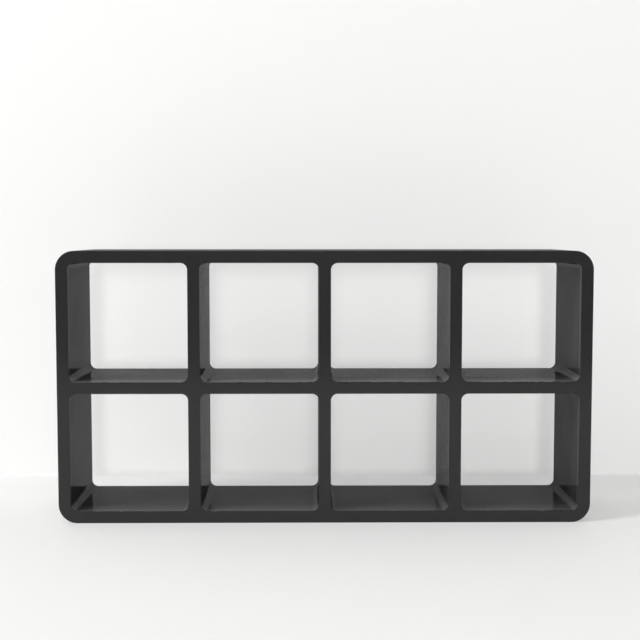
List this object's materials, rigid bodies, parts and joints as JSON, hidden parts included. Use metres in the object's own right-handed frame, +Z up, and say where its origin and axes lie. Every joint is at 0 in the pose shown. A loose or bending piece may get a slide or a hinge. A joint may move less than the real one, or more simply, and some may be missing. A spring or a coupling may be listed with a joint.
{
  "type": "coin display tray",
  "caption": "Open-through black display tray with a grid of square, round-cornered cells. It stands on its long edge and shows a coin or small object in each cell.",
  "frame": {"origin": "on the surface that the tray stands on, below the middle of the tray", "axes": "+X along the tray, +Y from its front face to its back face, +Z up"},
  "size_m": [0.2346, 0.053, 0.1199],
  "materials": {
    "face": "satin black sheet with eased edges",
    "band": "satin black sheet, bent round the corners",
    "divider": "sawn black sheet, hidden",
    "liner": "polished black inside, mirror-like at low angles"
  },
  "bodies": {
    "root": {"front_face_frame": "face", "rear_face_frame": "face", "outer_band": "band", "long_divider_1": "divider", "cross_divider_1": "divider", "cross_divider_2": "divider", "cross_divider_3": "divider", "cell_liner_1_1": "liner", "cell_liner_1_2": "liner", "cell_liner_1_3": "liner", "cell_liner_1_4": "liner", "cell_liner_2_1": "liner", "cell_liner_2_2": "liner", "cell_liner_2_3": "liner", "cell_liner_2_4": "liner"}
  },
  "joints": []
}
